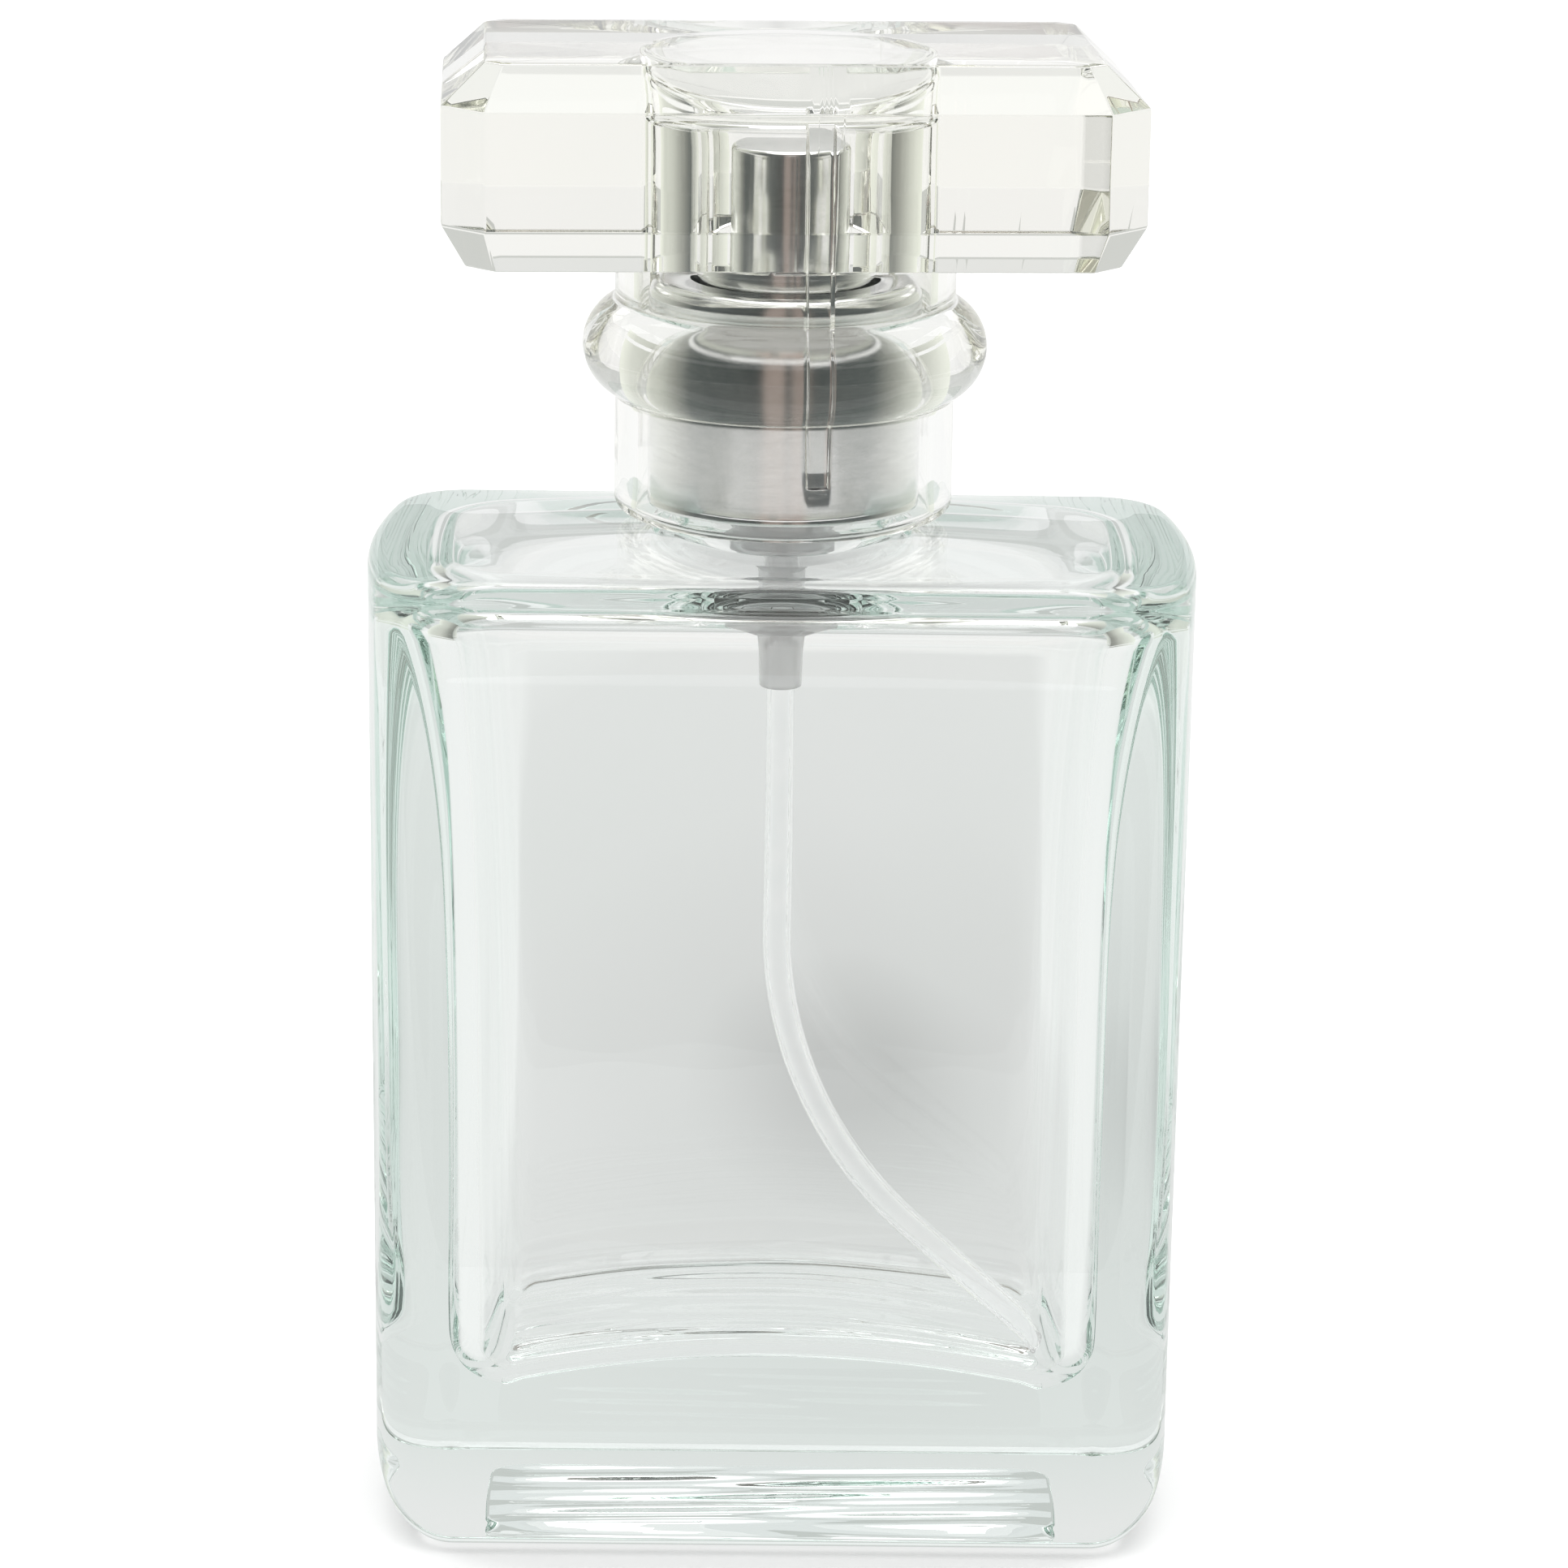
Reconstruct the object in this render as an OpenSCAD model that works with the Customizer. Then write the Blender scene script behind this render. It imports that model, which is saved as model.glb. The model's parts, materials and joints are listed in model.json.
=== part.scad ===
// Flat rectangular glass spray bottle with a crimped mist pump, a bright metal collar and actuator,
// and a clear one-piece cap cut like an emerald.
// Origin: centre of the bottle's base. +Z is up, X is the width, -Y is the front.

/* [Bottle] */
// Width of the bottle over its arched ends
bottle_w = 53.9; // [53:0.1:55]
// Depth of the bottle, front to back
bottle_d = 27; // [26.6:0.1:28]
// Radius of the arched ends, seen from above
end_r = 50; // [45:1:60]
// Height of the shoulder's outer edge above the base
shoulder_z = 66.5; // [64:0.1:70]
// Rise of the crowned shoulder between its edge and the neck
crown = 1.6; // [1:0.1:2]
// Radius of the four upright corners
corner_r = 5; // [4:0.1:6]
// Radius of the shoulder's edge
shoulder_r = 1.2; // [0.6:0.1:1.5]
// Radius of the base's two ends, seen from the front
base_end_r = 4.7; // [3:0.1:5]
// Radius of the base's front and back edges
base_front_r = 2.4; // [1.5:0.1:2.6]
// Depth of the shallow recess under the base
recess_depth = 0.6; // [0.3:0.1:1]

/* [Liquid chamber] */
// Thickness of the end walls at the shoulder
end_wall_top = 4; // [3.9:0.1:4]
// Thickness of the end walls at the floor
end_wall_low = 5.5; // [5.4:0.1:5.6]
// Thickness of the front and back walls at the shoulder
front_wall_top = 2.9; // [2.6:0.1:3.1]
// Thickness of the front and back walls at the floor
front_wall_low = 3.4; // [3.1:0.1:3.6]
// Height of the floor at its two ends
floor_z = 10.6; // [9.5:0.1:11]
// Rise of the floor in the middle
floor_dome = 2.2; // [1.5:0.1:2.4]
// Thickness of the shoulder at its edge
ceiling_t = 2.3; // [2:0.1:3]
// Radius around the floor
floor_r = 3; // [2:0.1:3.5]

/* [Neck] */
// Height of the neck above the crown
neck_h = 8.2; // [8:0.1:8.6]
// Diameter of the bead that the ferrule is crimped under
bead_d = 15; // [14.6:0.1:15]
// Height of the bead
bead_h = 3.4; // [3:0.1:3.6]
// Diameter of the neck below the bead
groove_d = 13.2; // [13:0.1:13.4]
// Diameter of the neck's bore
neck_bore_d = 10.5; // [10:0.1:10.6]

/* [Collar] */
// Diameter of the collar cover
collar_d = 17.6; // [17.5:0.1:17.7]
// Height of the collar cover
collar_h = 14.5; // [14.3:0.1:14.6]
// Gap between the crown and the collar cover
collar_gap = 1.3; // [1.2:0.1:1.6]
// Thickness of the collar cover's wall
collar_wall = 0.55; // [0.45:0.05:0.6]

/* [Actuator] */
// Diameter of the actuator
actuator_d = 11.3; // [11.2:0.1:11.4]
// Height of the actuator above the collar
actuator_rise = 9; // [8.6:0.1:9.2]
// Travel of the actuator
stroke = 4; // [3:0.1:4]
// Direction that the nozzle points in, counted from +X towards +Y
nozzle_dir = 105; // [0:1:359]

/* [Dip tube] */
// Outside diameter of the dip tube
tube_d = 1.85; // [1.7:0.05:1.9]
// Bore of the dip tube
tube_bore = 1.2; // [1:0.05:1.3]
// Radius of the dip tube's bend
bend_r = 27; // [26:0.5:27]
// Angle of the dip tube's bend
bend_angle = 50; // [46:1:50]
// Direction that the dip tube bends in, counted from +X towards +Y
bend_dir = -9; // [-12:1:-6]
// Length of the straight end of the dip tube
tube_end = 12.2; // [10:0.1:12.2]

/* [Cap] */
// Length of the cap's bar
bar_w = 44; // [42:0.1:46]
// Depth of the cap's bar, front to back
bar_d = 25.2; // [24.8:0.1:25.6]
// Size of the cuts across the bar's upright corners
bar_cut = 2.7; // [2:0.1:3.2]
// Height of the bar's lower bevel
bevel_low_h = 2.7; // [2:0.1:3]
// Height of the bar's upright band
girdle_h = 7.4; // [7:0.1:8]
// Height of the bar's upper bevel
bevel_top_h = 2.6; // [2:0.1:3]
// Width of the lower bevel, seen from below
bevel_low_in = 1.5; // [1:0.1:1.6]
// Width of the upper bevel, seen from above
bevel_top_in = 2.75; // [2:0.05:3]
// Outside diameter of the cap's skirt
skirt_d = 21.96; // [21.6:0.02:22.2]
// Diameter of the hollow inside the cap
hollow_d = 18.9; // [18.8:0.1:19]
// Diameter over the bead ring round the skirt
ring_d = 26.1; // [25:0.1:26.4]
// Number of grip ribs inside the cap
rib_count = 3; // [3:1:6]
// Turn of the cap on the bottle, as it was put down
cap_turn = 2.9; // [-4:0.1:4]

/* [Hidden] */
$fn = 96;
eps = 0.01;

// Clearances: round pieces that slide or turn, and beside pieces that only lie together
run = 0.05;
seat = 0.05;

// Bottle
end_back = end_r - bottle_w / 2;
crown_z = shoulder_z + crown;
land_r = 8.1;
land_z = crown_z + 0.1;
root_fillet = 1.2;
groove_r = groove_d / 2;
bead_r = bead_d / 2;
neck_bore_r = neck_bore_d / 2;
lip_z = crown_z + neck_h;
bead_z = lip_z - bead_h;
lip_r = 0.6;
recess_margin = 2.6;
knee_z = shoulder_z - 18;

// Collar
collar_r = collar_d / 2;
collar_z = crown_z + collar_gap;
collar_top = collar_z + collar_h;
collar_hole_r = 6.1;
collar_edge_r = 0.9;
collar_hem_r = 0.25;

// Gasket, housing flange and ferrule, stacked on the neck's lip
gasket_t = 1;
gasket_r = 7.3;
flange_z = lip_z + gasket_t;
flange_t = 1;
flange_r = 6.9;
head_z = flange_z + flange_t;
ferrule_t = 0.45;
ferrule_r = collar_r - collar_wall - seat;
turret_r = 5;
turret_top = head_z + 3.9;
crimp_in = 0.75;

// Housing, from its tail upwards
tail_z = head_z - 21.7;
tail_r = 1.4;
tail_top_r = 1.55;
socket_depth = 4.8;
cone_z = tail_z + 5.6;
barrel_z = cone_z + 2.6;
barrel_r = 3.7;
head_r = 3.9;
head_top = head_z + 2.95;
bore_r = 2.9;
inlet_r = 0.65;
seat_z = tail_z + 5.7;
pocket_r = 1.3;
ledge_z = seat_z + 3.1;
nib_t = 0.45;
nib_w = 0.5;
nib_r = 0.75;
vent_r = 0.25;
vent_z = flange_z - 1.6;

// Closure cup and stem seal
cup_r = turret_r - ferrule_t - seat;
cup_top_t = 0.45;
seal_t = 0.75;
seal_r = 3.4;
seal_z = head_top - seal_t;

// Inlet ball, just off its conical seat
ball_r = 1;
ball_z = seat_z + sqrt(2) * (ball_r + run / 2) - inlet_r;

// Stem and valve rod. The actuator's boss stays clear of the closure cup at full travel.
boss_z = head_top + seat + cup_top_t + stroke + 0.3;
stem_r = 1.5;
stem_bore_r = 0.55;
stem_top = boss_z + 3.2;
stem_flange_r = 2.6;
stem_flange_z = seal_z - seat - 0.95;
stem_low = head_z - 3.9;
plug_r = 0.8;
plug_h = 1.2;
port_r = 0.3;
port_z = stem_low + 1.9;
rod_head_r = 2.3;
rod_cone_h = 0.7;
rod_head_z = stem_low - rod_cone_h - 0.9;
pilot_r = 1.5;
pilot_h = 1.2;

// Piston
piston_z = stem_low - 0.2;
piston_h = 3.8;
piston_lip = 1;
piston_waist_r = 2.5;
piston_bore_r = 1.8;
piston_seal_h = 1.2;

// Springs: wire radius, coil radius and turns
return_wire = 0.225;
return_coil = 2.07;
return_turns = 6;
priming_wire = 0.15;
priming_coil = 2.1;
priming_turns = 3;
wire_sides = 8;
steps_per_turn = 20;

// Actuator
actuator_r = actuator_d / 2;
actuator_top = collar_top + actuator_rise;
actuator_z = collar_top - 1;
actuator_wall = 0.4;
actuator_edge_r = 0.5;
body_r = actuator_r - actuator_wall - seat;
body_z = turret_top + stroke + 0.8;
body_top = actuator_top - actuator_wall - seat;
boss_r = 2.6;
nozzle_z = actuator_top - 2.9;
nozzle_r = 1.5;
nozzle_in = 2.9;
nozzle_wall = 0.5;
nozzle_front_t = 0.4;
orifice_r = 0.15;
swirl_post_r = 0.7;
passage_r = 0.5;

// Dip tube, pushed into the housing's tail
tube_r = tube_d / 2;
tube_top = tail_z + socket_depth - 0.1;
tube_sides = 12;
bend_z = 40;
bend_steps = 16;

// Cap
bar_z = collar_top + 2.2;
bar_top = bar_z + bevel_low_h + girdle_h + bevel_top_h;
skirt_r = skirt_d / 2;
hollow_r = hollow_d / 2;
hollow_top = bar_top - 3.6;
hollow_edge_r = 0.8;
rim_z = collar_z - 0.75;
rim_r = (skirt_r - hollow_r) / 2;
ring_z = collar_z + 10;
ring_bead_r = 3.3;
ring_fillet_r = 0.4;
rib_in_r = collar_r + 0.07;
rib_low_z = collar_z + 2.6;
rib_w = 1.6;
rib_low_w = 1.1;
rib_dir = -77.5;

// Radius of an arc that rises by rise over a half chord
function arc_r(half, rise) = (half * half + rise * rise) / (2 * rise);

// Points of a sweep: rings of a wire of radius r round a coil, one ring for each step
function coil_points(coil, r, turns, low, high) = [
    for (i = [0 : turns * steps_per_turn], j = [0 : wire_sides - 1])
        let (
            turn = 360 * i / steps_per_turn,
            out = coil + r * cos(360 * j / wire_sides),
            // The first and the last turn lie flat against their seats
            rise = min(max(i / steps_per_turn - 1, 0), turns - 2) / (turns - 2)
        )
        [
            out * cos(turn), out * sin(turn),
            low + r + end_pitch(i, turns) * 2.1 * r
                + rise * (high - low - 2 * r - 2 * 2.1 * r) + r * sin(360 * j / wire_sides),
        ]
];
// How far the flat turns at both ends have climbed, in wire diameters: 0 to 1, and 1 to 2
function end_pitch(i, turns) =
    min(i / steps_per_turn, 1) + max(i / steps_per_turn - (turns - 1), 0);
function coil_faces(turns) = let (last = turns * steps_per_turn) [
    [for (j = [0 : wire_sides - 1]) j],
    for (i = [0 : last - 1], j = [0 : wire_sides - 1])
        let (a = i * wire_sides, b = a + wire_sides, k = (j + 1) % wire_sides)
        [a + j, b + j, b + k, a + k],
    [for (j = [wire_sides - 1 : -1 : 0]) last * wire_sides + j],
];

// The dip tube's course in its own upright plane: straight down, round the bend and on to its tip.
// Each stop is [out, height, angle off the vertical].
function bend_stop(angle, on) = [
    bend_r * (1 - cos(angle)) + on * sin(angle), bend_z - bend_r * sin(angle) - on * cos(angle), angle,
];
tube_course = [
    [0, tube_top, 0],
    for (i = [0 : bend_steps]) bend_stop(bend_angle * i / bend_steps, 0),
    bend_stop(bend_angle, tube_end),
];
function tube_ring(stop, r) = [
    for (j = [0 : tube_sides - 1]) let (turn = 360 * j / tube_sides)
        [stop[0] + r * cos(turn) * cos(stop[2]), r * sin(turn), stop[1] + r * cos(turn) * sin(stop[2])]
];
// Quads between two rings that start at points a and b
function band(a, b) = [
    for (j = [0 : tube_sides - 1]) let (k = (j + 1) % tube_sides) [a + j, a + k, b + k, b + j]
];
// Each stop has an outer ring and an inner ring, which also close the tube's two ends
function tube_faces(stops) = let (step = 2 * tube_sides, last = step * (stops - 1)) [
    for (a = [0 : step : last - step]) each band(a, a + step),
    for (a = [0 : step : last - step]) each band(a + step + tube_sides, a + tube_sides),
    each band(tube_sides, 0),
    each band(last, last + tube_sides),
];

// A coil spring between two heights
module coil_spring(coil, r, turns, low, high)
    polyhedron(coil_points(coil, r, turns, low, high), coil_faces(turns), convexity = 6);

// A ring's section: from radius a to b and from height low to high
module section(a, b, low, high) translate([a, low]) square([b - a, high - low]);

// An upright outline from -half to half, with its lower and upper corners rounded
module outline(half, low, high, r_low, r_high) {
    translate([-half, low + r_low]) square([2 * half, high - low - r_low - r_high]);
    translate([-half + r_low, low]) square([2 * (half - r_low), r_low + eps]);
    translate([-half + r_high, high - r_high - eps]) square([2 * (half - r_high), r_high + eps]);
    for (side = [-1, 1]) {
        translate([side * (half - r_low), low + r_low]) circle(r_low);
        translate([side * (half - r_high), high - r_high]) circle(r_high);
    }
}

// A shallow arch over a flat top at height z
module arch(half, z, rise) intersection() {
    translate([0, z + rise - arc_r(half, rise)]) circle(arc_r(half, rise), $fn = 720);
    translate([-half, z - eps]) square([2 * half, rise + 1]);
}

// A rectangle with round corners, seen from above
module rounded_plan(w, d, r) {
    square([w - 2 * r, d], center = true);
    square([w, d - 2 * r], center = true);
    for (x = [-1, 1], y = [-1, 1]) translate([x * (w / 2 - r), y * (d / 2 - r)]) circle(r);
}

// The bottle seen from above: its corners' arcs run into the great arcs of its two ends
module bottle_plan() {
    y = bottle_d / 2 - corner_r;
    x = sqrt((end_r - corner_r) ^ 2 - y ^ 2) - end_back;
    rounded_plan(2 * (x + corner_r), bottle_d, corner_r);
    intersection() {
        square([bottle_w, 2 * y], center = true);
        translate([-end_back, 0]) circle(end_r, $fn = 360);
        translate([end_back, 0]) circle(end_r, $fn = 360);
    }
}

// Stands an outline up in the XZ plane, or in the YZ plane, and makes it l thick
module across(l) rotate([90, 0, 0]) linear_extrude(l, center = true) children();
module along(l) rotate([90, 0, 90]) linear_extrude(l, center = true) children();

module bottle_outline(half, r_low) {
    outline(half, 0, shoulder_z, r_low, shoulder_r);
    arch(half - shoulder_r, shoulder_z, crown);
}

// A great disc with the bottle's front outline at its rim, which shapes one of the arched ends
module end_disc(side) translate([-side * end_back, 0, 0]) rotate_extrude($fn = 360) {
    section(0, end_back - 1, 0, crown_z + 1);
    intersection() {
        translate([end_back, 0]) bottle_outline(bottle_w / 2, base_end_r);
        section(end_back - 1 - eps, end_r + 1, 0, crown_z + 1);
    }
}

// One wall line of the chamber: half widths at its top and its floor. The wall gets thinner mostly
// in its upper third.
module chamber_outline(top, low) {
    high = shoulder_z - ceiling_t;
    edge = 2;
    knee = low + (top - low) * 0.2;
    polygon([[-top, high - edge], [-knee, knee_z], [-low, floor_z + floor_r],
             [low, floor_z + floor_r], [knee, knee_z], [top, high - edge]]);
    translate([-low + floor_r, floor_z]) square([2 * (low - floor_r), floor_r + eps]);
    translate([-top + edge, high - edge - eps]) square([2 * (top - edge), edge + eps]);
    for (side = [-1, 1]) {
        translate([side * (low - floor_r), floor_z + floor_r]) circle(floor_r);
        translate([side * (top - edge), high - edge]) circle(edge);
    }
    arch(top - edge, high, crown * 0.8);
}

module chamber() {
    end_top = bottle_w / 2 - end_wall_top;
    end_low = bottle_w / 2 - end_wall_low;
    front_top = bottle_d / 2 - front_wall_top;
    front_low = bottle_d / 2 - front_wall_low;
    dome_r = arc_r(end_low - floor_r, floor_dome);
    intersection() {
        across(bottle_d) difference() {
            chamber_outline(end_top, end_low);
            translate([0, floor_z + floor_dome - dome_r]) circle(dome_r, $fn = 360);
        }
        along(bottle_w) chamber_outline(front_top, front_low);
        linear_extrude(lip_z) rounded_plan(2 * end_top, 2 * front_top, 3.2);
    }
}

module neck_section() {
    section(0, groove_r, shoulder_z - 1, lip_z - lip_r);
    section(0, bead_r - lip_r, bead_z, lip_z);
    section(0, bead_r, bead_z + lip_r, lip_z - lip_r);
    for (z = [bead_z + lip_r, lip_z - lip_r]) translate([bead_r - lip_r, z]) circle(lip_r);
    section(0, land_r, shoulder_z - 1, land_z);
    difference() {
        section(groove_r - eps, groove_r + root_fillet, land_z - eps, land_z + root_fillet);
        translate([groove_r + root_fillet, land_z + root_fillet]) circle(root_fillet);
    }
}

module glass_bottle() color([0.8, 0.9, 0.87, 0.4]) difference() {
    union() {
        intersection() {
            end_disc(1);
            end_disc(-1);
            along(bottle_w + 2) bottle_outline(bottle_d / 2, base_front_r);
            linear_extrude(lip_z) bottle_plan();
        }
        rotate_extrude() neck_section();
    }
    chamber();
    translate([0, 0, shoulder_z - ceiling_t - 2]) cylinder(h = lip_z, r = neck_bore_r);
    translate([0, 0, -1]) linear_extrude(1 + recess_depth)
        rounded_plan(bottle_w - 2 * (base_end_r + recess_margin),
                     bottle_d - 2 * (base_front_r + recess_margin), 3);
}

module neck_gasket() color("whitesmoke")
    rotate_extrude() section(neck_bore_r, gasket_r, lip_z, flange_z);

module crimp_ferrule() color("silver") rotate_extrude() {
    top = head_z + ferrule_t;
    section(ferrule_r - ferrule_t, ferrule_r, bead_z - 0.5, top);
    section(ferrule_r - ferrule_t - crimp_in, ferrule_r, bead_z - 0.5, bead_z - seat);
    section(turret_r - ferrule_t, ferrule_r, head_z, top);
    section(turret_r - ferrule_t, turret_r, head_z, turret_top);
    section(boss_r, turret_r, turret_top - ferrule_t, turret_top);
}

module collar_cover() color("lightgray") rotate_extrude() difference() {
    union() {
        section(0, collar_r, collar_z + collar_hem_r, collar_top - collar_edge_r);
        section(0, collar_r - collar_hem_r, collar_z, collar_z + 1);
        section(0, collar_r - collar_edge_r, collar_top - 1, collar_top);
        translate([collar_r - collar_hem_r, collar_z + collar_hem_r]) circle(collar_hem_r);
        translate([collar_r - collar_edge_r, collar_top - collar_edge_r]) circle(collar_edge_r);
    }
    section(-1, collar_hole_r, collar_z - 1, collar_top + 1);
    section(0, collar_r - collar_wall, collar_z - 1, collar_top - collar_edge_r);
    section(0, collar_r - collar_edge_r, collar_z, collar_top - collar_wall);
    translate([collar_r - collar_edge_r, collar_top - collar_edge_r])
        circle(collar_edge_r - collar_wall);
}

module pump_housing() color([0.95, 0.95, 0.95, 0.8]) difference() {
    rotate_extrude() {
        section(0, flange_r, flange_z, head_z);
        section(0, head_r, head_z - eps, head_top);
        section(0, barrel_r, barrel_z, flange_z + eps);
        polygon([[0, tail_z], [tail_r, tail_z], [tail_top_r, cone_z], [barrel_r, barrel_z],
                 [barrel_r, barrel_z + eps], [0, barrel_z + eps]]);
    }
    rotate_extrude() {
        section(0, tube_r + seat / 2, tail_z - 1, tail_z + socket_depth);
        section(0, inlet_r, tail_z, seat_z + eps);
        polygon([[0, seat_z], [inlet_r, seat_z], [pocket_r, seat_z + pocket_r - inlet_r],
                 [pocket_r, ledge_z - nib_t], [0, ledge_z - nib_t]]);
        section(0, bore_r, ledge_z, head_top + 1);
        section(0, seal_r + seat, seal_z, head_top + 1);
    }
    // The ball's pocket opens to the chamber between three nibs
    difference() {
        translate([0, 0, ledge_z - nib_t - eps]) cylinder(h = nib_t + 2 * eps, r = pocket_r);
        for (turn = [0 : 120 : 240]) rotate(turn)
            translate([nib_r, -nib_w / 2, ledge_z - nib_t - 1]) cube([2, nib_w, nib_t + 2]);
    }
    translate([0, 0, vent_z]) rotate([0, 90, 0]) cylinder(h = barrel_r + 1, r = vent_r);
}

module closure_cup() color("white") rotate_extrude() {
    low = head_z + seat;
    top = head_top + seat + cup_top_t;
    section(head_r + seat, cup_r, low, top);
    section(stem_r + 0.3, cup_r, top - cup_top_t, top);
}

module stem_seal() color("dimgray")
    rotate_extrude() section(stem_r + run, seal_r, seal_z, head_top);

module inlet_ball() color("silver") translate([0, 0, ball_z]) sphere(ball_r);

module return_spring() color("silver")
    coil_spring(return_coil, return_wire, return_turns, ledge_z + seat, rod_head_z - seat);

module valve_rod() color("white") rotate_extrude() {
    section(0, pilot_r, rod_head_z - pilot_h, rod_head_z);
    section(0, rod_head_r, rod_head_z, stem_low - rod_cone_h);
    polygon([[0, stem_low - rod_cone_h], [rod_head_r, stem_low - rod_cone_h],
             [stem_r, stem_low], [0, stem_low]]);
    section(0, plug_r, stem_low - eps, stem_low + plug_h);
}

module piston() color("white") rotate_extrude() difference() {
    out = bore_r - run;
    top = piston_z + piston_h;
    union() {
        section(piston_bore_r, out, piston_z, piston_z + piston_lip);
        section(piston_bore_r, out, top - piston_lip, top);
        section(piston_bore_r, piston_waist_r, piston_z, top);
        section(stem_r + run, piston_waist_r, top - piston_seal_h, top);
    }
}

module priming_spring() color("silver")
    coil_spring(priming_coil, priming_wire, priming_turns,
                piston_z + piston_h + seat, stem_flange_z - seat);

module pump_stem() color("white") difference() {
    rotate_extrude() {
        section(stem_bore_r, stem_r, stem_low + plug_h + 0.1, stem_top);
        section(plug_r + seat / 2, stem_r, stem_low, stem_low + plug_h + 0.1 + eps);
        section(stem_r - eps, stem_flange_r, stem_flange_z, seal_z - seat);
    }
    translate([0, 0, port_z]) rotate([0, 90, 0]) cylinder(h = 2 * stem_r + 1, r = port_r, center = true);
}

// A tube with a wall, swept down the dip tube's course
module dip_tube() color([0.97, 0.97, 0.97, 0.8]) rotate([0, 0, bend_dir])
    polyhedron(
        [for (stop = tube_course, r = [tube_r, tube_bore / 2]) each tube_ring(stop, r)],
        tube_faces(len(tube_course)),
        convexity = 6
    );

// The nozzle's pocket and passage, from inside the actuator outwards
module nozzle_bore(r, from, to) translate([0, 0, nozzle_z]) rotate([0, 90, nozzle_dir])
    translate([0, 0, from]) cylinder(h = to - from, r = r);

module actuator_body() color("white") {
    difference() {
        rotate_extrude() {
            section(0, body_r, body_z, body_top);
            section(0, boss_r, boss_z, body_z + eps);
        }
        translate([0, 0, boss_z - 1]) cylinder(h = stem_top + run - boss_z + 1, r = stem_r + run);
        translate([0, 0, boss_z]) cylinder(h = nozzle_z - boss_z, r = passage_r);
        nozzle_bore(passage_r, -passage_r, nozzle_in + 1);
        nozzle_bore(nozzle_r + seat / 2, nozzle_in, actuator_r + 1);
    }
    // Post that the liquid swirls round inside the nozzle insert
    difference() {
        nozzle_bore(swirl_post_r, nozzle_in - 0.5, actuator_r - nozzle_front_t - 0.3);
        nozzle_bore(passage_r, 0, nozzle_in + 0.2);
    }
}

module actuator_cover() color("lightgray") difference() {
    inner_r = actuator_r - actuator_wall;
    rotate_extrude() difference() {
        union() {
            section(0, actuator_r, actuator_z, actuator_top - actuator_edge_r);
            section(0, actuator_r - actuator_edge_r, actuator_z, actuator_top);
            translate([actuator_r - actuator_edge_r, actuator_top - actuator_edge_r])
                circle(actuator_edge_r);
        }
        section(-1, inner_r, actuator_z - 1, actuator_top - actuator_wall);
    }
    nozzle_bore(nozzle_r + seat, inner_r - 1, actuator_r + 1);
}

module nozzle_insert() color("white") difference() {
    nozzle_bore(nozzle_r, nozzle_in + seat, actuator_r - 0.1);
    nozzle_bore(nozzle_r - nozzle_wall, nozzle_in - 1, actuator_r - nozzle_front_t - 0.1);
    nozzle_bore(orifice_r, nozzle_in, actuator_r + 1);
}

// The bar's outline between two opposite faces, which stand half apart from the middle
module bar_outline(half) {
    low = bar_z + bevel_low_h;
    polygon([[half - bevel_low_in, bar_z], [half, low], [half, low + girdle_h],
             [half - bevel_top_in, bar_top], [bevel_top_in - half, bar_top],
             [-half, low + girdle_h], [-half, low], [bevel_low_in - half, bar_z]]);
}

// The bar: four bevelled prisms, each square to one pair of its eight sides
module cap_bar() intersection() {
    corner = (bar_w / 2 + bar_d / 2 - bar_cut) / sqrt(2);
    across(2 * bar_w) bar_outline(bar_w / 2);
    along(2 * bar_w) bar_outline(bar_d / 2);
    rotate(45) across(2 * bar_w) bar_outline(corner);
    rotate(-45) across(2 * bar_w) bar_outline(corner);
}

// The skirt with its bead ring, which runs into the skirt through hollow fillets
module skirt_section() {
    ring_in = ring_d / 2 - ring_bead_r;
    fillet_out = skirt_r + ring_fillet_r - ring_in;
    reach = ring_bead_r + ring_fillet_r;
    fillet_z = sqrt(reach * reach - fillet_out * fillet_out);
    touch_r = ring_in + ring_bead_r * fillet_out / reach;
    touch_z = ring_bead_r * fillet_z / reach;
    section(hollow_r, skirt_r, rim_z + rim_r, bar_z + 1);
    translate([hollow_r + rim_r, rim_z + rim_r]) circle(rim_r);
    translate([0, ring_z]) difference() {
        union() {
            translate([ring_in, 0]) circle(ring_bead_r);
            polygon([[skirt_r - 0.3, -fillet_z], [skirt_r, -fillet_z], [touch_r, -touch_z],
                     [touch_r, touch_z], [skirt_r, fillet_z], [skirt_r - 0.3, fillet_z]]);
        }
        for (side = [-1, 1])
            translate([skirt_r + ring_fillet_r, side * fillet_z]) circle(ring_fillet_r);
        section(0, hollow_r, -reach, reach);
    }
}

// A grip rib, which gets narrower towards the open end
module rib() difference() {
    rotate([90, 0, 90]) linear_extrude(hollow_r + rim_r)
        polygon([[-rib_low_w / 2, rib_low_z], [rib_low_w / 2, rib_low_z],
                 [rib_w / 2, hollow_top + eps], [-rib_w / 2, hollow_top + eps]]);
    translate([0, 0, rib_low_z - 1]) cylinder(h = hollow_top, r = rib_in_r);
}

module cap_shell() color([0.95, 0.95, 0.9, 0.4]) rotate(cap_turn) {
    difference() {
        cap_bar();
        rotate_extrude() {
            section(0, hollow_r, bar_z - 1, hollow_top - hollow_edge_r);
            section(0, hollow_r - hollow_edge_r, bar_z, hollow_top);
            translate([hollow_r - hollow_edge_r, hollow_top - hollow_edge_r]) circle(hollow_edge_r);
        }
    }
    rotate_extrude() skirt_section();
    for (i = [0 : rib_count - 1]) rotate(rib_dir - cap_turn + 360 * i / rib_count) rib();
}

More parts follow.
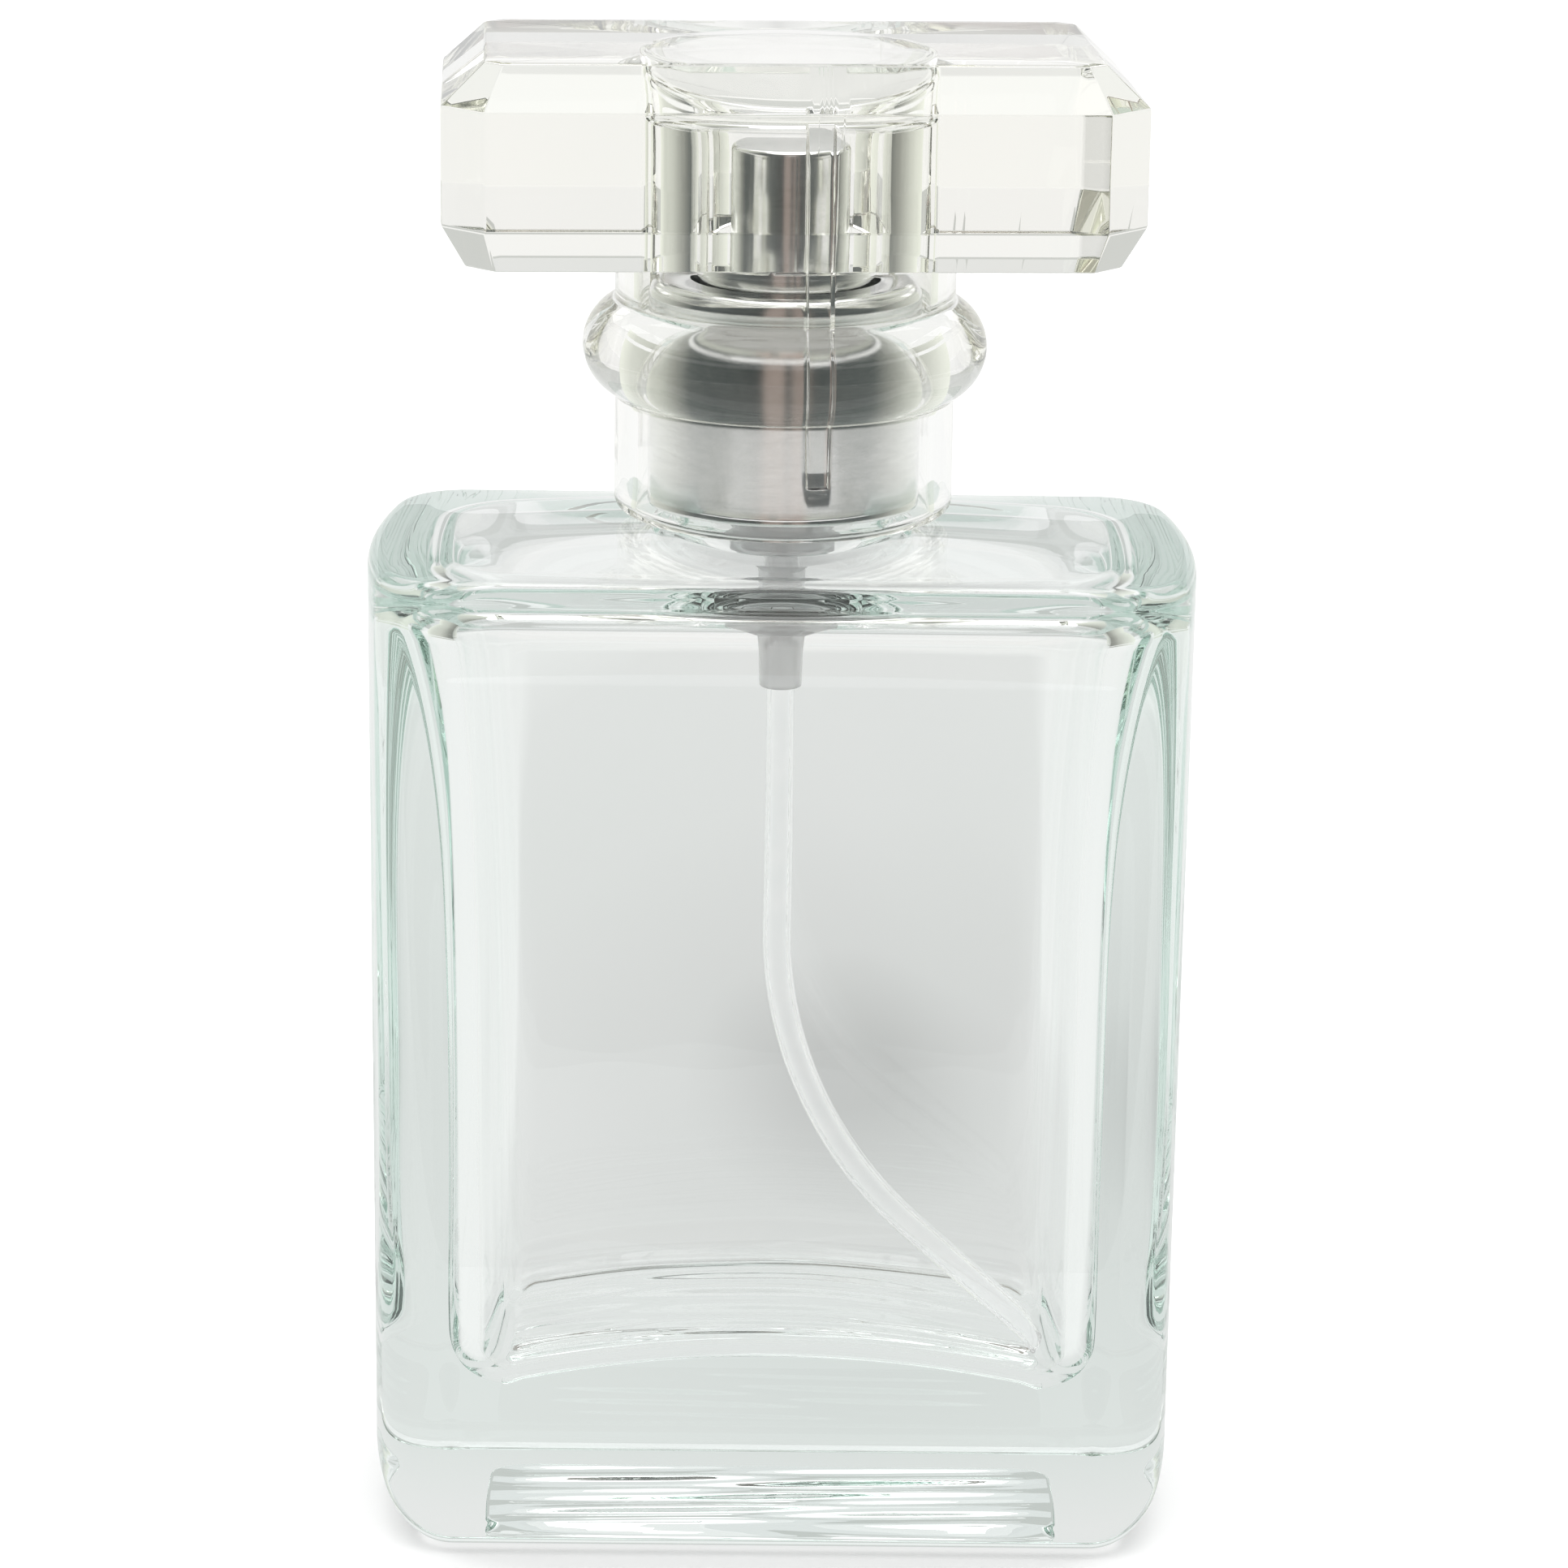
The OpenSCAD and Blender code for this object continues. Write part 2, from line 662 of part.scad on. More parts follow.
glass_bottle();
neck_gasket();
crimp_ferrule();
collar_cover();
pump_housing();
closure_cup();
stem_seal();
inlet_ball();
return_spring();
valve_rod();
piston();
priming_spring();
pump_stem();
dip_tube();
actuator_body();
actuator_cover();
nozzle_insert();
cap_shell();
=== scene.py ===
import json
import math

import bpy
import numpy as np
from mathutils import Matrix, Vector


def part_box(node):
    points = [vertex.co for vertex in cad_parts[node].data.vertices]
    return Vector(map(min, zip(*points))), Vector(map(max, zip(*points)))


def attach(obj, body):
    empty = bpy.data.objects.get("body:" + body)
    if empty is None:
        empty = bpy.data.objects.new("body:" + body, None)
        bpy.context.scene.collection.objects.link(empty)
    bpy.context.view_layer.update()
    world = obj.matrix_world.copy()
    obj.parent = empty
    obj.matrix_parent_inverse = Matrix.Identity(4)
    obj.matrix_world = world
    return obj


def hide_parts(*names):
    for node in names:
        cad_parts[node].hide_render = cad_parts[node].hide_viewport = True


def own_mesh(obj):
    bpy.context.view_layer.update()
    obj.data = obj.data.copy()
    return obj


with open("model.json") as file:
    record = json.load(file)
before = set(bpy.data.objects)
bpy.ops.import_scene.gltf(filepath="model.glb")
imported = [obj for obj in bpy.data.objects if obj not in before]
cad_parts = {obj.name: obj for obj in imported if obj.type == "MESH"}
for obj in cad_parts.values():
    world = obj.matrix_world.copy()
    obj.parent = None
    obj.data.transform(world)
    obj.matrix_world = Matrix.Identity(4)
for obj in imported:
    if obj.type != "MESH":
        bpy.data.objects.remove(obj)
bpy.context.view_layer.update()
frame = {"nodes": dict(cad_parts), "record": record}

# Lengths here are in millimetres, as the part was designed. MM turns them into Blender's metres.
MM = 0.001

# ---------------------------------------------------------------- sizes


def span(node, axis):
    """The lowest and highest value of a CAD node along an axis, in millimetres."""
    low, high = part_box(node)
    return low[axis] / MM, high[axis] / MM


# Bottle, outside
BOTTLE_HALF_W = span("glass_bottle", 0)[1]
BOTTLE_HALF_D = span("glass_bottle", 1)[1]
LIP_Z = span("glass_bottle", 2)[1]
END_R = 50
CORNER_R = 5
CROWN = 1.6
NECK_H = 8.2
CROWN_Z = LIP_Z - NECK_H
SHOULDER_Z = CROWN_Z - CROWN
SHOULDER_R = 1.2
BASE_END_R = 4.7
BASE_FRONT_R = 2.4
RECESS_DEPTH = 0.6
RECESS_MARGIN = 2.6
RECESS_CORNER_R = 3
RECESS_EDGE = 0.3
RECESS_RIPPLE = 0.13

# Neck
LAND_R = 8.1
LAND_Z = CROWN_Z + 0.1
GROOVE_R = 6.6
ROOT_FILLET = 1.2
BEAD_R = 7.5
BEAD_Z = LIP_Z - 3.4
LIP_GAP = 0.04
LIP_R = 0.6
BORE_R = 5.25
BORE_FLARE_R = 1.6
BORE_FLARE_Z = 1.27
LAND_EDGE = 0.15

# Liquid chamber: half sizes under the ceiling and at the floor
CHAMBER_TOP = (BOTTLE_HALF_W - 4.1, BOTTLE_HALF_D - 2.9)
CHAMBER_LOW = (BOTTLE_HALF_W - 5.4, BOTTLE_HALF_D - 3.4)
CHAMBER_FLARE = 5
CHAMBER_END_R = 160
CHAMBER_CORNER_R = 5
CEILING_Z = SHOULDER_Z - 2.3
CEILING_R = 2
FLOOR_Z = 10.6
FLOOR_R = 3
FLOOR_DOME = 2.2
FLOOR_RIPPLE = 0.16
WALL_WAVE = 0.035
FOOT_WAVE = 0.12
FOOT_WAVE_H = 9

# Collar and actuator
COLLAR_LOW, COLLAR_TOP = span("collar_cover", 2)
COLLAR_R = span("collar_cover", 0)[1]
COLLAR_WALL = 0.55
COLLAR_EDGE_R = 0.9
COLLAR_HOLE_R = 6.1
COLLAR_HEM_R = 0.25
ACTUATOR_LOW, ACTUATOR_TOP = span("actuator_cover", 2)
ACTUATOR_R = span("actuator_cover", 0)[1]
ACTUATOR_WALL = 0.4
ACTUATOR_EDGE_R = 0.5
NOZZLE_Z = ACTUATOR_TOP - 2.9
NOZZLE_HOLE_R = 1.55
NOZZLE_TURN = 105

# Cap
RIM_Z, BAR_TOP = span("cap_shell", 2)
BAR_HALF_W = 22
BAR_HALF_D = 12.6
BAR_CUT = 2.7
BAR_Z = BAR_TOP - 12.7
BEVEL_LOW_H = 2.7
BEVEL_LOW_IN = 1.5
BEVEL_TOP_H = 2.6
BEVEL_TOP_IN = 2.75
SKIRT_R = 10.98
HOLLOW_R = 9.45
HOLLOW_TOP = BAR_TOP - 3.6
HOLLOW_EDGE_R = 0.8
RIM_R = (SKIRT_R - HOLLOW_R) / 2
RING_Z = COLLAR_LOW + 10
RING_OUT_R = 13.05
RING_BEAD_R = 3.3
RING_FILLET_R = 0.4
RIB_R = COLLAR_R + 0.07
RIB_LOW_Z = COLLAR_LOW + 2.6
RIB_W = (1.1, 1.6)
RIB_TURNS = (-77.5, 42.5, 162.5)
RIB_EDGE = 0.12
CAP_TURN = 2.9
FACET_EDGE = 0.12

# Dip tube: straight down, round a bend and straight on
TUBE_R = 0.925
TUBE_BORE_R = 0.6
TUBE_TOP = span("dip_tube", 2)[1]
BEND_Z = 40
BEND_R = 27
BEND_ANGLE = 50
BEND_TURN = -9
TUBE_END = 12.2

# Springs: coil radius, wire radius and turns
RETURN_COIL = (2.07, 0.225, 6)
PRIMING_COIL = (2.1, 0.15, 3)

# ---------------------------------------------------------------- meshes


def arc(cx, cy, r, start, end, steps):
    """Points round an arc, both ends included."""
    turns = np.radians(np.linspace(start, end, steps + 1))
    return [(cx + r * math.cos(t), cy + r * math.sin(t)) for t in turns]


def new_object(name, points, faces):
    mesh = bpy.data.meshes.new(name)
    mesh.from_pydata([tuple(MM * v for v in p) for p in points], [], faces)
    mesh.shade_smooth()
    mesh.update()
    obj = bpy.data.objects.new(name, mesh)
    bpy.context.scene.collection.objects.link(obj)
    return obj


def flat_normals(obj):
    """Lets the large faces set the normals, so that flat faces shade flat up to their round edges."""
    mod = obj.modifiers.new("normals", "WEIGHTED_NORMAL")
    mod.weight = 100
    mod.keep_sharp = True


def loft(name, rings, closed=False, flip=False):
    """A skin over rings of equally many points. The two ends close to a point, or onto each other."""
    rings = [np.asarray(r, float) for r in rings]
    count = len(rings[0])
    points = np.concatenate(rings)
    faces = []
    last = len(rings) if closed else len(rings) - 1
    for i in range(last):
        a, b = i * count, (i + 1) % len(rings) * count
        for j in range(count):
            k = (j + 1) % count
            faces.append((a + j, a + k, b + k, b + j))
    if not closed:
        low, high = len(points), len(points) + 1
        top = (len(rings) - 1) * count
        points = np.concatenate([points, [rings[0].mean(0)], [rings[-1].mean(0)]])
        for j in range(count):
            k = (j + 1) % count
            faces.append((low, k, j))
            faces.append((high, top + j, top + k))
    if flip:
        faces = [f[::-1] for f in faces]
    return new_object(name, points, faces)


def revolve(name, profile, steps=160):
    """Turns a closed profile of (radius, height) points, counterclockwise, round the Z axis."""
    turns = np.linspace(0, 2 * math.pi, steps, endpoint=False)
    rings = [[(r * math.cos(t), r * math.sin(t), z) for t in turns] for r, z in profile]
    return loft(name, rings, closed=True)


def sweep(name, course, radii, sides=20):
    """Sweeps a round section along a course of points. Two radii make a tube with a wall."""
    course = np.asarray(course, float)
    along = np.gradient(course, axis=0)
    along /= np.linalg.norm(along, axis=1)[:, None]
    side = np.cross(along, (0.01, 0.02, 1) if abs(along[0][2]) < 0.9 else (0, 1, 0))
    side /= np.linalg.norm(side, axis=1)[:, None]
    other = np.cross(along, side)
    turns = np.linspace(0, 2 * math.pi, sides, endpoint=False)
    def ring(i, r):
        return [course[i] + r * (math.cos(t) * side[i] + math.sin(t) * other[i]) for t in turns]
    rings = [ring(i, radii[0]) for i in range(len(course))]
    if len(radii) == 1:
        return loft(name, rings)
    rings += [ring(i, radii[1]) for i in reversed(range(len(course)))]
    return loft(name, rings, closed=True)


def bake(obj):
    """Makes an object's modifiers final."""
    graph = bpy.context.evaluated_depsgraph_get()
    mesh = bpy.data.meshes.new_from_object(obj.evaluated_get(graph))
    obj.modifiers.clear()
    obj.data = mesh


# ---------------------------------------------------------------- bottle

SIDE_STEPS = 96
CORNER_STEPS = 20
END_STEPS = 28


def plan(half_w, half_d, corner_r, end_r):
    """Points and outward normals round a rectangle with round corners and arched ends, from above."""
    back = end_r - half_w
    cy = half_d - corner_r
    cx = math.sqrt((end_r - corner_r) ** 2 - cy ** 2) - back
    lean = math.degrees(math.atan2(cy, cx + back))
    quarter = []
    for x in np.linspace(0, cx, SIDE_STEPS // 2, endpoint=False):
        quarter.append((x, -half_d, -90))
    for t in np.linspace(-90, -lean, CORNER_STEPS, endpoint=False):
        a = math.radians(t)
        quarter.append((cx + corner_r * math.cos(a), -cy + corner_r * math.sin(a), t))
    for t in np.linspace(-lean, 0, END_STEPS // 2, endpoint=False):
        a = math.radians(t)
        quarter.append((end_r * math.cos(a) - back, end_r * math.sin(a), t))
    front_right = quarter
    back_right = [(x, -y, -t) for x, y, t in mirrored(quarter, half_w)]
    half = front_right + back_right
    around = half + [(-x, -y, t + 180) for x, y, t in half]
    points = np.array([(x, y) for x, y, _ in around])
    turns = np.radians([t for _, _, t in around])
    return points, np.stack([np.cos(turns), np.sin(turns)], 1)


def mirrored(quarter, half_w):
    """The quarter's points in reverse, from the end's middle, without the first one."""
    return [(half_w, 0, 0)] + quarter[:0:-1]


def level(points, z):
    """A ring of points at one height, or at a height for each point."""
    return np.column_stack([points, np.broadcast_to(z, len(points))])


def crown_height(points, half_w, half_d, rise):
    """How far a shoulder that is arched both ways has risen at each point."""
    x = np.clip(points[:, 0] / half_w, -1, 1)
    y = np.clip(points[:, 1] / half_d, -1, 1)
    return rise * (1 - x ** 2) * (1 - y ** 2)


def inward(start, end, rise, base_z, steps):
    """Rings over an arched surface, between an outline and a circle or back."""
    half = np.abs(start).max(0)
    rings = []
    for f in np.linspace(0, 1, steps + 1):
        points = start + (end - start) * f
        rings.append(level(points, base_z + crown_height(points, *half, rise)))
    return rings


def circle_at(r, turns):
    return np.stack([r * np.cos(turns), r * np.sin(turns)], 1)


def recess_rings():
    """The shallow recess under the base, from its middle out to its edge."""
    half_w = BOTTLE_HALF_W - BASE_END_R - RECESS_MARGIN
    half_d = BOTTLE_HALF_D - BASE_FRONT_R - RECESS_MARGIN
    points, normals = plan(half_w, half_d, RECESS_CORNER_R, CHAMBER_END_R)
    rings = []
    for f in np.linspace(0.03, 0.9, 30):
        x, y = points[:, 0] * f, points[:, 1] * f
        ripple = np.sin(1.7 * y + 0.4 * np.sin(0.3 * x)) + 0.4 * np.sin(3.9 * y - 0.25 * x)
        rings.append(level(points * f, RECESS_DEPTH + RECESS_RIPPLE * ripple * (1 - f ** 4)))
    rings.append(level(points - normals * (2 * RECESS_EDGE + 0.05), RECESS_DEPTH))
    for into, up in arc(0, 0, RECESS_EDGE, 90, 0, 4):
        rings.append(level(points - normals * (2 * RECESS_EDGE - into), up + RECESS_EDGE))
    for into, up in arc(0, 0, RECESS_EDGE, 180, 270, 4)[1:]:
        rings.append(level(points + normals * into, up + RECESS_EDGE))
    return rings


def outer_rings():
    """The base's edge, the walls and the shoulder's edge."""
    points, normals = plan(BOTTLE_HALF_W, BOTTLE_HALF_D, CORNER_R, END_R)
    base_r = BASE_FRONT_R + (BASE_END_R - BASE_FRONT_R) * normals[:, 0] ** 2
    rings = []
    for t in np.radians(np.linspace(0, 90, 17)):
        into = base_r * (1 - math.sin(t))
        rings.append(level(points - normals * into[:, None], base_r * (1 - math.cos(t))))
    low = BASE_END_R + 0.4
    for z in np.linspace(low, SHOULDER_Z - SHOULDER_R - 0.1, 24):
        rings.append(level(points, z))
    for out, up in arc(0, 0, SHOULDER_R, 0, 90, 10):
        ring = points - normals * (SHOULDER_R - out)
        rings.append(level(ring, SHOULDER_Z - SHOULDER_R + up))
    return rings


def neck_profile():
    """The neck from its land to the bore, as radii and heights. A hair of air is left between the
    lip and the gasket on it, so that the two surfaces don't lie in one plane."""
    root = (GROOVE_R + ROOT_FILLET, LAND_Z + ROOT_FILLET)
    top = LIP_Z - LIP_GAP
    flare = (BORE_R + BORE_FLARE_R, CEILING_Z + BORE_FLARE_Z + BORE_FLARE_R)
    return (
        [(LAND_R, LAND_Z - LAND_EDGE), (LAND_R - LAND_EDGE, LAND_Z)]
        + arc(*root, ROOT_FILLET, 270, 180, 6)
        + [(GROOVE_R, BEAD_Z - 0.1), (GROOVE_R + 0.1, BEAD_Z)]
        + arc(BEAD_R - LIP_R, BEAD_Z + LIP_R, LIP_R, -90, 0, 6)
        + arc(BEAD_R - LIP_R, top - LIP_R, LIP_R, 0, 90, 6)
        + arc(BORE_R + LIP_R / 2, top - LIP_R / 2, LIP_R / 2, 90, 180, 4)
        + [(BORE_R, CEILING_Z + 4)]
        + arc(*flare, BORE_FLARE_R, 180, 260, 8)
    )


def neck_rings(turns):
    return [level(circle_at(r, turns), z) for r, z in neck_profile()]


def wall_waves(points, z):
    """The unevenness that blowing leaves inside the walls. It is strongest low down at the ends."""
    x, y = points[:, 0], points[:, 1]
    broad = WALL_WAVE * np.sin(0.31 * x + 0.12 * z + 1.1) * np.sin(0.085 * z + 0.21 * x + 0.4 * y)
    near_foot = np.exp(-((z - FLOOR_Z) / FOOT_WAVE_H) ** 2)
    at_ends = np.clip(np.abs(x) / CHAMBER_LOW[0], 0, 1) ** 6
    return broad + FOOT_WAVE * near_foot * at_ends * np.sin(1.3 * y + 0.15 * z)


def dome(points, half_w):
    """The floor's arch, which runs from end to end and is straight from front to back."""
    return FLOOR_DOME * np.clip(1 - (points[:, 0] / half_w) ** 2, 0, 1)


def wall_rings():
    """The chamber's walls, which flare out under the shoulder and end on the domed floor."""
    top, low = np.array(CHAMBER_TOP), np.array(CHAMBER_LOW)
    rings = []
    for f in np.linspace(0.01, 0.99, 48):
        half = low + (top - low) * (1 - f) ** CHAMBER_FLARE
        points, normals = plan(*half, CHAMBER_CORNER_R, CHAMBER_END_R)
        wall_low = FLOOR_Z + FLOOR_R + dome(points, low[0] - FLOOR_R)
        z = CEILING_Z - CEILING_R + (wall_low - CEILING_Z + CEILING_R) * f
        waves = wall_waves(points, z) * math.sin(math.pi * f) ** 0.5
        rings.append(level(points + normals * waves[:, None], z))
    return rings


def floor_rings():
    """The rounding round the floor, and the floor with its faint ripples."""
    points, normals = plan(*CHAMBER_LOW, CHAMBER_CORNER_R, CHAMBER_END_R)
    half_w = CHAMBER_LOW[0] - FLOOR_R
    rings = []
    for out, up in arc(0, 0, FLOOR_R, 0, -90, 12):
        ring = points - normals * (FLOOR_R - out)
        rings.append(level(ring, FLOOR_Z + FLOOR_R + dome(points, half_w) + up))
    edge = points - normals * FLOOR_R
    for f in np.linspace(0.98, 0.02, 48):
        inner = edge * f
        x, y = inner[:, 0], inner[:, 1]
        ripple = np.sin(2.1 * y + 0.5 * np.sin(0.35 * x) + 0.6) + 0.5 * np.sin(4.3 * y + 0.2 * x)
        z = FLOOR_Z + dome(inner, half_w) + FLOOR_RIPPLE * ripple * (1 - f ** 8)
        rings.append(level(inner, z))
    return rings


def chamber_rings():
    """The chamber from its ceiling's edge down the walls and in over the floor."""
    points, normals = plan(*CHAMBER_TOP, CHAMBER_CORNER_R, CHAMBER_END_R)
    rings = []
    for out, up in arc(0, 0, CEILING_R, 90, 0, 10):
        rings.append(level(points - normals * (CEILING_R - out), CEILING_Z - CEILING_R + up))
    return rings + wall_rings() + floor_rings()


def make_bottle():
    outer = outer_rings()
    shoulder = outer[-1][:, :2]
    turns = np.arctan2(shoulder[:, 1], shoulder[:, 0])
    land = circle_at(LAND_R + 0.5, turns)
    crown = inward(shoulder, land, CROWN, SHOULDER_Z, 20)[1:]
    foot = crown[-1].copy()
    foot[:, :2] = circle_at(LAND_R, turns)
    foot[:, 2] += LAND_EDGE
    chamber = chamber_rings()
    ceiling_edge = chamber[0][:, :2]
    flare = circle_at(BORE_R + BORE_FLARE_R + 0.4, turns)
    ceiling = inward(ceiling_edge, flare, 0.8 * CROWN, CEILING_Z, 16)[:0:-1]
    bottle = loft("bottle", recess_rings() + outer + crown + [foot] + neck_rings(turns)
                  + ceiling + chamber)
    flat_normals(bottle)
    return bottle


# ---------------------------------------------------------------- cap


def octagon(inset):
    """The eight corners of the bar's outline with all its sides moved in by inset."""
    a, b = BAR_HALF_W - inset, BAR_HALF_D - inset
    cut = (BAR_HALF_W + BAR_HALF_D - BAR_CUT) - inset * math.sqrt(2)
    x, y = cut - b, cut - a
    return np.array([(-x, -b), (x, -b), (a, -y), (a, y), (x, b), (-x, b), (-a, y), (-a, -y)])


def side_shares():
    """For each side of the bar, how far along it the cap's points lie."""
    corners = octagon(BEVEL_LOW_IN)
    fine = set()
    for turn in RIB_TURNS:
        for edge in np.linspace(-RIB_W[1] / 2, RIB_W[1] / 2, 9):
            fine.add(turn - CAP_TURN + math.degrees(edge / RIB_R))
        for width in RIB_W:
            for side in (-1, 1):
                for more in (0, RIB_EDGE):
                    fine.add(turn - CAP_TURN + side * math.degrees((width / 2 + more) / RIB_R))
    turns = [t % 360 for t in list(np.arange(0, 360, 1.5)) + sorted(fine)]
    shares = []
    for a, b in zip(corners, np.roll(corners, -1, 0)):
        start = math.degrees(math.atan2(a[1], a[0]))
        width = (math.degrees(math.atan2(b[1], b[0])) - start) % 360
        steps = {round((t - start) % 360, 4) for t in turns}
        inside = sorted(t for t in steps if 0.3 < t < width - 0.3)
        shares.append([share_at(a, b, start + t) for t in inside])
    return shares


def share_at(a, b, turn):
    """How far from a to b a ray from the middle at this turn crosses the line between them."""
    ray = np.array([math.cos(math.radians(turn)), math.sin(math.radians(turn))])
    step = b - a
    cross = ray[0] * step[1] - ray[1] * step[0]
    return -(ray[0] * a[1] - ray[1] * a[0]) / cross


SHARES = side_shares()


def bar_ring(inset, z, edge=FACET_EDGE):
    """A ring round the bar, with its upright edges slightly broken."""
    corners = octagon(inset)
    points = []
    for i, shares in enumerate(SHARES):
        before, a, b = corners[i - 1], corners[i], corners[(i + 1) % 8]
        back = (before - a) / np.linalg.norm(before - a)
        on = (b - a) / np.linalg.norm(b - a)
        points += [a + back * edge, a + (back + on) * edge * 0.3, a + on * edge]
        points += [a + (b - a) * s for s in shares]
    return level(np.array(points), z)


def skirt_profile():
    """The skirt's outside from the bar down over the bead ring, and round the rim."""
    ring_in = RING_OUT_R - RING_BEAD_R
    out = SKIRT_R + RING_FILLET_R - ring_in
    reach = RING_BEAD_R + RING_FILLET_R
    fillet_z = math.sqrt(reach ** 2 - out ** 2)
    lean = math.degrees(math.asin(fillet_z / reach))
    fillet_x = SKIRT_R + RING_FILLET_R
    return (
        [(SKIRT_R, BAR_Z - 0.3)]
        + [(SKIRT_R, z) for z in np.linspace(BAR_Z - 0.6, RING_Z + fillet_z + 0.1, 6)]
        + arc(fillet_x, RING_Z + fillet_z, RING_FILLET_R, 180, 180 + lean, 7)
        + arc(ring_in, RING_Z, RING_BEAD_R, lean, -lean, 24)[1:-1]
        + arc(fillet_x, RING_Z - fillet_z, RING_FILLET_R, 180 - lean, 180, 7)
        + [(SKIRT_R, z) for z in np.linspace(RING_Z - fillet_z - 0.1, RIM_Z + RIM_R + 0.2, 8)]
        + arc(HOLLOW_R + RIM_R, RIM_Z + RIM_R, RIM_R, 0, -180, 16)
    )


def rib_depth(turns, z):
    """How far the ribs stand in from the hollow's wall at each turn, at one height."""
    share = np.clip((z - RIB_LOW_Z) / (HOLLOW_TOP - RIB_LOW_Z), 0, 1)
    half = (RIB_W[0] + (RIB_W[1] - RIB_W[0]) * share) / 2
    depth = np.zeros(len(turns))
    for rib in RIB_TURNS:
        away = np.abs((np.degrees(turns) - rib + CAP_TURN + 180) % 360 - 180)
        beyond = np.radians(away) * RIB_R - half
        depth = np.maximum(depth, np.clip(1 - beyond / RIB_EDGE, 0, 1))
    return depth * (HOLLOW_R - RIB_R)


def hollow_rings(turns):
    """The hollow from the rim up past the ribs to its ceiling."""
    rings = []
    for z in (RIM_Z + 2, RIB_LOW_Z - 0.02):
        rings.append(level(circle_at(HOLLOW_R, turns), z))
    heights = np.linspace(RIB_LOW_Z + 0.05, HOLLOW_TOP - HOLLOW_EDGE_R, 24)
    for z in heights:
        wall = HOLLOW_R - rib_depth(turns, z)
        rings.append(level(circle_at(1, turns) * wall[:, None], z))
    for out, up in arc(0, 0, HOLLOW_EDGE_R, 0, 90, 6)[1:]:
        r = HOLLOW_R - HOLLOW_EDGE_R + out
        z = HOLLOW_TOP - HOLLOW_EDGE_R + up
        wall = np.minimum(r, HOLLOW_R - rib_depth(turns, z))
        rings.append(level(circle_at(1, turns) * wall[:, None], z))
    for r in (7, 4, 1.5):
        rings.append(level(circle_at(r, turns), HOLLOW_TOP))
    return rings


def edge_rings(levels):
    """Rings for the bar's bevels. Each level is (inset, z), and its edge is slightly broken."""
    rings = []
    for i, (inset, z) in enumerate(levels):
        here = np.array((inset, z))
        if 0 < i:
            rings.append(bar_ring(*toward(here, levels[i - 1])))
        if 0 < i < len(levels) - 1:
            middle = (toward(here, levels[i - 1]) + toward(here, levels[i + 1])) / 2
            rings.append(bar_ring(*(middle * 0.7 + here * 0.3)))
        if i < len(levels) - 1:
            rings.append(bar_ring(*toward(here, levels[i + 1])))
    return rings


def toward(here, there):
    """The point a broken edge's width away from one corner of a profile towards the next."""
    step = np.array(there) - here
    return here + step / np.linalg.norm(step) * FACET_EDGE


def make_cap():
    top_in = BEVEL_TOP_IN
    girdle = (BAR_Z + BEVEL_LOW_H, BAR_TOP - BEVEL_TOP_H)
    bar = edge_rings([(top_in + 1, BAR_TOP), (top_in, BAR_TOP), (0, girdle[1]), (0, girdle[0]),
                      (BEVEL_LOW_IN, BAR_Z), (BEVEL_LOW_IN + 1, BAR_Z)])[:-1]
    foot = bar_ring(BEVEL_LOW_IN, BAR_Z)[:, :2]
    turns = np.arctan2(foot[:, 1], foot[:, 0])
    skirt = [level(circle_at(r, turns), z) for r, z in skirt_profile()]
    joined = level(circle_at(SKIRT_R + 0.08, turns), BAR_Z)
    cap = loft("cap", bar + [joined] + skirt + hollow_rings(turns), flip=True)
    cap.data.transform(Matrix.Rotation(math.radians(CAP_TURN), 4, "Z"))
    flat_normals(cap)
    return cap


# ---------------------------------------------------------------- collar, actuator, tube, springs


def make_collar():
    inner = COLLAR_R - COLLAR_WALL
    edge = (COLLAR_R - COLLAR_EDGE_R, COLLAR_TOP - COLLAR_EDGE_R)
    hem = (COLLAR_R - COLLAR_HEM_R, COLLAR_LOW + COLLAR_HEM_R)
    profile = (
        [(inner, COLLAR_LOW + 0.05), (inner + 0.05, COLLAR_LOW)]
        + arc(*hem, COLLAR_HEM_R, -90, 0, 4)
        + [(COLLAR_R, z) for z in np.linspace(COLLAR_LOW + 1, edge[1] - 0.1, 10)]
        + arc(*edge, COLLAR_EDGE_R, 0, 90, 10)
        + [(COLLAR_HOLE_R + 0.1, COLLAR_TOP), (COLLAR_HOLE_R, COLLAR_TOP - 0.1)]
        + [(COLLAR_HOLE_R, COLLAR_TOP - COLLAR_WALL)]
        + arc(*edge, COLLAR_EDGE_R - COLLAR_WALL, 90, 0, 6)
    )
    collar = revolve("collar", profile)
    flat_normals(collar)
    return collar


